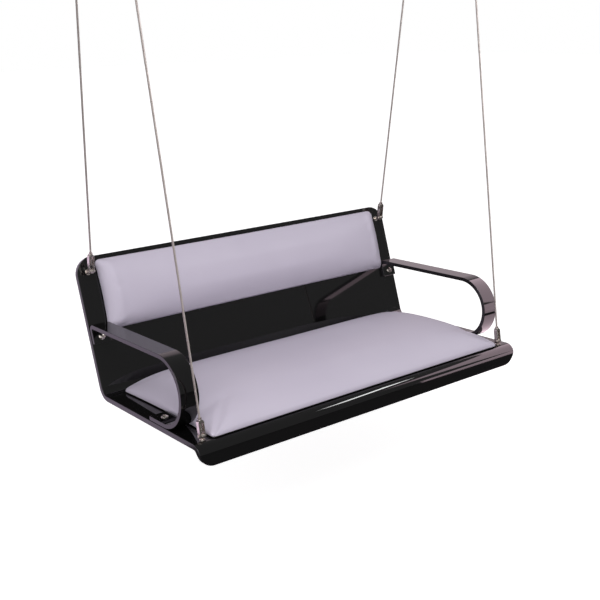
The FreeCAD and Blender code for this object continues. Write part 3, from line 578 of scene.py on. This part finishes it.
def stained_plywood():
    """Plywood with faint plies along its edge and an open grain, under a matt black stain."""
    grain_stretch, plies_scale, grain_share = (3.0, 60.0, 60.0), 130.0, 0.7
    smooth_rough, grain_dulls = 0.55, 0.2
    wood, tree, shader = new_material("stained_plywood", {"IOR": 1.45})
    place = node(tree, "ShaderNodeTexCoord").outputs["Object"]
    long = node(tree, "ShaderNodeMapping", {"Vector": place, "Scale": grain_stretch})
    grain = node(tree, "ShaderNodeTexNoise", {"Vector": long.outputs[0], "Scale": 4.0, "Detail": 5.0})
    plies = node(tree, "ShaderNodeTexWave", {"Vector": place, "Scale": plies_scale, "Distortion": 0.4},
                 bands_direction="Z")
    tone = calc(tree, "ADD", calc(tree, "MULTIPLY", grain.outputs[0], grain_share),
                calc(tree, "MULTIPLY", plies.outputs[1], 1 - grain_share))
    colour = node(tree, "ShaderNodeValToRGB", {0: tone})
    colour.color_ramp.elements[0].color = (0.006, 0.005, 0.005, 1)
    colour.color_ramp.elements[1].color = (0.030, 0.025, 0.023, 1)
    tree.links.new(colour.outputs[0], shader.inputs["Base Color"])
    rough = calc(tree, "ADD", calc(tree, "MULTIPLY", grain.outputs[0], grain_dulls), smooth_rough)
    tree.links.new(rough, shader.inputs["Roughness"])
    bump = node(tree, "ShaderNodeBump", {"Height": tone, "Strength": 0.3, "Distance": 0.0003})
    tree.links.new(bump.outputs[0], shader.inputs["Normal"])
    return wood


board_material = stained_plywood()
for kind in ("seat", "back"):
    dress(frame["nodes"][kind + "_cushion_board"], board_material)


# Cushion covers: pale lilac leatherette, cut in one piece, pulled over the foam and stapled under the
# board, so that the sides draw in between the corners and the skin gathers into soft folds near each end.
PAD_GRID = 0.010
PAD_RIM_STEPS = (0, 0.0012, 0.0030, 0.0046, 0.0050, 0.0085, 0.013, 0.019, 0.026)
PAD_DRAW_LONG_SHARE = 0.35
PAD_FOOT_HIGH = 0.003
PAD_STAPLED_ROWS = 2
SEAT_PAD = {"width": 1.088, "depth": 0.477, "high": 0.082, "side": 0.036, "crown": 0.240, "draw": 0.007,
            "lift": 0.004, "end_round": 0.095, "long_round": 0.026, "corner": 0.016, "arch": 2.6, "ends": 5.5}
BACK_PAD = {"width": 1.084, "depth": 0.209, "high": 0.050, "side": 0.032, "crown": 0.104, "draw": 0.005,
            "lift": 0.003, "end_round": 0.040, "long_round": 0.026, "corner": 0.016, "arch": 2.0, "ends": 25}
SEAT_PAD_MIDDLE, BACK_PAD_MIDDLE = -0.2585, 0.2865
SEAT_PAD_PLACE = SEAT @ Matrix.Translation((0, SEAT_PAD_MIDDLE, 0))
BACK_PAD_PLACE = BACK @ Matrix.Translation((0, BACK_PAD_MIDDLE, 0))
# A fold has its start and end in the plan, its depth (below zero for a ridge) and half its width.
SEAT_FOLDS = (((0.530, -0.142), (0.380, -0.140), 0.0055, 0.020),
              ((0.535, -0.035), (0.485, 0.175), 0.0040, 0.020))
BACK_FOLDS = (((0.500, 0.030), (0.512, 0.115), -0.0034, 0.009),
              ((0.500, 0.000), (0.494, -0.120), -0.0034, 0.009))
FOLDS_FROM, FOLDS_FULL = 0.012, 0.024
FILLING_INSET, FILLING_GRID = 0.014, 0.03
SWELL_FRAMES = 20
SWELL_PRESSURE = 4.0
SWELL_ALLOWED = 0.008
SWELL_SLACK = 0.004


def round_up(share):
    """The height share of a quarter round, from 0 at its foot to 1 at its top."""
    return math.sqrt(1 - (1 - min(share, 1)) ** 2)


def fold_depth(folds, x, y):
    """How far the folds draw the skin in at a place of the plan. Each dies out towards its end."""
    depth = 0
    for start, end, deep, half_wide in folds:
        run = Vector(end) - Vector(start)
        spot = Vector((abs(x), y)) - Vector(start)
        share = min(max(spot.dot(run) / run.length_squared, 0), 1)
        off = (spot - share * run).length
        depth += deep * (1 - share ** 2) * math.exp(-(off / half_wide) ** 2)
    return depth


def pad_form(pad, inset, slack):
    """A function that gives a point of a cushion's skin from its place in the plan, above or below."""
    half_x, half_y = pad["width"] / 2 - inset, pad["depth"] / 2 - inset
    ridge = pad["depth"] / 2 - pad["crown"]
    side, high = pad["side"] - inset - slack, pad["high"] - inset - slack
    corner = pad["corner"]

    def point(x, y, above):
        from_end, from_long = half_x - abs(x), half_y - abs(y)
        if above:
            low = pad["lift"] if inset == 0 else BOARD_TOP
            foot = low + PAD_FOOT_HIGH
            rim = round_up(from_end / pad["end_round"]) * round_up(from_long / pad["long_round"])
            reach = half_y - ridge if y > ridge else half_y + ridge
            arch = 1 - abs((y - ridge) / reach) ** pad["arch"]
            ends = math.sqrt(max(0, 1 - abs(x / half_x) ** pad["ends"]))
            height = foot + (side - foot) * rim + (high - side) * arch * ends
        else:
            height = pad["lift"] if min(from_end, from_long) < BOARD_INSET and inset == 0 else BOARD_TOP
        p = max(0, abs(x) - half_x + corner) / corner
        q = max(0, abs(y) - half_y + corner) / corner
        if p > 0 and q > 0:
            x = math.copysign(half_x - corner + corner * p * math.sqrt(1 - q * q / 2), x)
            y = math.copysign(half_y - corner + corner * q * math.sqrt(1 - p * p / 2), y)
        across, along = x / half_x, y / half_y
        return Vector((x - across * pad["draw"] * (1 - along ** 2),
                       y - along * pad["draw"] * PAD_DRAW_LONG_SHARE * (1 - across ** 2), height))
    return point


def pad_lines(half, grid):
    """Where the lines of a cushion's grid lie across it: close together near the rim, then even."""
    rim = [half - step for step in PAD_RIM_STEPS]
    cells = math.ceil(2 * rim[-1] / grid)
    inner = [rim[-1] * (2 * i / cells - 1) for i in range(1, cells)]
    return [-line for line in rim] + inner + rim[::-1]


def pad_blank(name, pad, inset, slack, grid):
    """A closed cushion: a grid over the top and the same grid below, joined round the rim."""
    point = pad_form(pad, inset, slack)
    columns = pad_lines(pad["width"] / 2 - inset, grid)
    rows = pad_lines(pad["depth"] / 2 - inset, grid)
    mesh = bmesh.new()
    stapled = mesh.verts.layers.deform.verify()
    rims = []
    for above in (True, False):
        made = [[mesh.verts.new(point(x, y, above)) for x in columns] for y in rows]
        for j, row in enumerate(made):
            for i, vert in enumerate(row):
                steps_in = min(i, j, len(columns) - 1 - i, len(rows) - 1 - j)
                vert[stapled][0] = 1.0 if not above or steps_in < PAD_STAPLED_ROWS else 0.0
        for low, up in zip(made, made[1:]):
            for i in range(len(columns) - 1):
                mesh.faces.new((low[i], low[i + 1], up[i + 1], up[i])[::1 if above else -1])
        rims.append(made[0][:-1] + [row[-1] for row in made[:-1]] + made[-1][:0:-1]
                    + [row[0] for row in made[:0:-1]])
    upper, lower = rims
    for i in range(len(upper)):
        mesh.faces.new((upper[i - 1], lower[i - 1], lower[i], upper[i]))
    bmesh.ops.recalc_face_normals(mesh, faces=mesh.faces)
    for face in mesh.faces:
        face.smooth = True
    made = bpy.data.meshes.new(name)
    mesh.to_mesh(made)
    mesh.free()
    return made


def swell(cover):
    """Fills a cushion's skin with pressure, as its foam does, and lets no point move further than allowed."""
    cover.vertex_groups.new(name="stapled")
    cloth = cover.modifiers.new("swell", "CLOTH")
    cloth.settings.vertex_group_mass = "stapled"
    cloth.settings.use_pressure = True
    cloth.settings.uniform_pressure_force = SWELL_PRESSURE
    cloth.settings.effector_weights.gravity = 0
    cloth.point_cache.frame_start, cloth.point_cache.frame_end = 1, SWELL_FRAMES
    for number in range(1, SWELL_FRAMES + 1):
        bpy.context.scene.frame_set(number)
    swollen = plain_mesh(cover)
    cover.modifiers.remove(cloth)
    for vert, moved in zip(cover.data.vertices, swollen.vertices):
        way = moved.co - vert.co
        if way.length > 0:
            vert.co += way * min(1, SWELL_ALLOWED / way.length)
    bpy.data.meshes.remove(swollen)
    cover.vertex_groups.clear()
    bpy.context.scene.frame_set(1)


def press_folds(skin, folds, place):
    """Draws the folds into the upper side of a cushion's skin. They die out above its foot."""
    plan = place.inverted()
    for vert in skin.vertices:
        spot = plan @ vert.co
        if spot.z > FOLDS_FROM:
            share = min(1, (spot.z - FOLDS_FROM) / (FOLDS_FULL - FOLDS_FROM))
            spot.z -= share * fold_depth(folds, spot.x, spot.y)
            vert.co = place @ spot


def leatherette():
    """Smooth leatherette with a fine pebble grain, a soft sheen and a slightly uneven colour."""
    pebbles_scale, pores_scale, clouds_scale, pebbles_share = 620.0, 240.0, 4.0, 0.6
    skin, tree, shader = new_material("lilac_leatherette", {
        "Roughness": 0.5, "IOR": 1.45, "Specular IOR Level": 0.35})
    place = node(tree, "ShaderNodeTexCoord").outputs["Object"]
    pebbles = node(tree, "ShaderNodeTexVoronoi", {"Vector": place, "Scale": pebbles_scale, "Randomness": 1.0},
                   feature="SMOOTH_F1")
    pores = node(tree, "ShaderNodeTexNoise", {"Vector": place, "Scale": pores_scale, "Detail": 4.0})
    clouds = node(tree, "ShaderNodeTexNoise", {"Vector": place, "Scale": clouds_scale, "Detail": 2.0})
    tone = node(tree, "ShaderNodeValToRGB", {0: clouds.outputs[0]})
    tone.color_ramp.elements[0].color = (0.530, 0.482, 0.588, 1)
    tone.color_ramp.elements[1].color = (0.600, 0.550, 0.655, 1)
    tree.links.new(tone.outputs[0], shader.inputs["Base Color"])
    height = calc(tree, "ADD", calc(tree, "MULTIPLY", pebbles.outputs[0], pebbles_share),
                  calc(tree, "MULTIPLY", pores.outputs[0], 1 - pebbles_share))
    bump = node(tree, "ShaderNodeBump", {"Height": height, "Strength": 0.12, "Distance": 0.0003})
    tree.links.new(bump.outputs[0], shader.inputs["Normal"])
    return skin


skin_material = leatherette()
foam_material, *_ = new_material("foam", {"Base Color": (0.8, 0.76, 0.62, 1), "Roughness": 0.9})
for kind, pad, folds, place in (("seat", SEAT_PAD, SEAT_FOLDS, SEAT_PAD_PLACE),
                                ("back", BACK_PAD, BACK_FOLDS, BACK_PAD_PLACE)):
    foam = new_object(kind + "_cushion_filling",
                      pad_blank(kind + "_cushion_filling", pad, FILLING_INSET, 0, FILLING_GRID))
    foam.data.transform(place)
    dress(foam, foam_material)
    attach(foam, "seat")
    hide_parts(kind + "_cushion_foam")
    slack = SWELL_SLACK
    cover = new_object(kind + "_cushion_skin",
                       pad_blank(kind + "_cushion_skin", pad, 0, slack, PAD_GRID))
    cover.data.transform(place)
    swell(cover)
    press_folds(cover.data, folds, place)
    fine = cover.modifiers.new("fine", "SUBSURF")
    fine.levels = fine.render_levels = 1
    dress(cover, skin_material)
    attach(cover, "seat")
    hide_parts(kind + "_cushion_cover")


# Studio: a pale floor, a dim room with two soft bright walls and a white look for the camera, a softbox,
# and cards that only show in glossy surfaces, those on the right only in the acrylic.
FLOOR_BELOW_SEAT = 0.45
FLOOR_HALF_SIZE = 30
FLOOR_SHOWN, FLOOR_GLOW, FLOOR_BOUNCES = 0.8, 0.75, 0.12
WHITE, WARM_LILAC, COOL_LILAC = (1.0, 1.0, 1.0), (1.16, 0.88, 1.0), (1.04, 0.84, 1.12)
ROOM_AMBIENT = (0.26, 0.26, 0.26)
# A wall has the way to it, its tint and level, and the cosines where it fades in and where it is full.
ROOM_WALLS = {
    "front_left": ((-0.7, -0.7, 0.1), WHITE, 1.2, 0.3, 0.95),
    "right_behind": ((0.59, 0.76, 0.28), (1.17, 0.90, 1.02), 0.55, 0.86, 0.95)}
# A softbox or card has its place, the point that it faces, its width and height, its tint and radiance.
SOFTBOXES = {
    "front_softbox": ((-0.9, -2.3, 1.8), (0, 0, -1.15), 2.2, 1.6, WHITE, 5.3)}
REFLECTION_CARDS = {
    "overhead_strip": ((1.57, -1.06, 0.63), (0.1, -0.36, -1.26), 0.75, 0.2, WHITE, 18.0),
    "right_card": ((6.0, -1.3, 1.95), (0.6, -1.3, 1.95), 7.8, 4.5, WARM_LILAC, 2.9),
    "right_front_card": ((2.77, -1.125, -1.24), (0.6, -1.125, -1.24), 4.25, 0.92, WARM_LILAC, 2.9),
    "right_low_card": ((1.45, -0.45, -1.7), (1.45, -0.45, 0.0), 1.1, 1.3, WARM_LILAC, 2.2),
    "right_low_front_card": ((2.385, -1.35, -1.7), (2.385, -1.35, 0.0), 0.77, 1.9, WARM_LILAC, 2.4),
    "left_low_card": ((-0.98, 0.62, -1.2), (-0.6, 0.0, -1.2), 1.6, 1.02, COOL_LILAC, 0.85)}


def softbox(name, place, target, width, height, tint, radiance):
    """An area lamp of a given radiance, which the camera doesn't see."""
    lamp = bpy.data.lights.new(name, "AREA")
    lamp.shape = "RECTANGLE"
    lamp.size, lamp.size_y = width, height
    lamp.color = tint
    lamp.energy = radiance * math.pi * width * height
    made = new_object(name, lamp)
    made.location = place
    made.rotation_euler = (Vector(target) - Vector(place)).to_track_quat("-Z", "Y").to_euler()
    made.visible_camera = False
    return made


def surroundings():
    """The room as light and in mirrors, and plain white for the camera."""
    world = bpy.data.worlds.new("surroundings")
    bpy.context.scene.world = world
    world.use_nodes = True
    tree = world.node_tree
    direction = node(tree, "ShaderNodeTexCoord").outputs["Generated"]
    room = ROOM_AMBIENT
    for axis, tint, level, fades_in, is_full in ROOM_WALLS.values():
        nearness = node(tree, "ShaderNodeVectorMath", {0: direction, 1: axis}, operation="DOT_PRODUCT")
        wall = node(tree, "ShaderNodeMapRange", {0: nearness.outputs["Value"], 1: fades_in, 2: is_full,
                                                 3: 0.0, 4: level}, interpolation_type="SMOOTHSTEP")
        room = vector_calc(tree, "ADD", room, scaled(tree, tint, wall.outputs[0]))
    light = node(tree, "ShaderNodeLightPath").outputs
    shown = node(tree, "ShaderNodeMix", {0: light["Is Camera Ray"], 6: room, 7: (1, 1, 1, 1)},
                 data_type="RGBA")
    tree.links.new(shown.outputs[2], tree.nodes["Background"].inputs["Color"])


surroundings()
for name, values in SOFTBOXES.items():
    softbox(name, *values)
acrylic_pieces = bpy.data.collections.new("acrylic_pieces")
for piece in bpy.context.scene.objects:
    if acrylic_material.name in piece.material_slots:
        acrylic_pieces.objects.link(piece)
for name, values in REFLECTION_CARDS.items():
    card = softbox(name, *values)
    card.visible_diffuse = False
    if name.startswith("right"):
        card.light_linking.receiver_collection = acrylic_pieces

floor_z = -SEAT_DROP - FLOOR_BELOW_SEAT
floor_mesh = bmesh.new()
bmesh.ops.create_grid(floor_mesh, x_segments=1, y_segments=1, size=FLOOR_HALF_SIZE,
                      matrix=Matrix.Translation((0, 0, floor_z)))
floor_data = bpy.data.meshes.new("floor")
floor_mesh.to_mesh(floor_data)
floor_mesh.free()
floor = new_object("floor", floor_data)
floor_material, floor_tree, floor_shader = new_material("floor", {
    "Roughness": 0.9, "Specular IOR Level": 0.0})
light = node(floor_tree, "ShaderNodeLightPath").outputs
paint = node(floor_tree, "ShaderNodeMix", {
    0: light["Is Camera Ray"], 6: (*[FLOOR_BOUNCES] * 3, 1), 7: (*[FLOOR_SHOWN] * 3, 1)}, data_type="RGBA")
floor_tree.links.new(paint.outputs[2], floor_shader.inputs["Base Color"])
glow = node(floor_tree, "ShaderNodeMath", {0: light["Is Camera Ray"], 1: FLOOR_GLOW}, operation="MULTIPLY")
floor_shader.inputs["Emission Color"].default_value = (1, 1, 1, 1)
floor_tree.links.new(glow.outputs[0], floor_shader.inputs["Emission Strength"])
dress(floor, floor_material)

bpy.context.scene.view_settings.view_transform = "Standard"
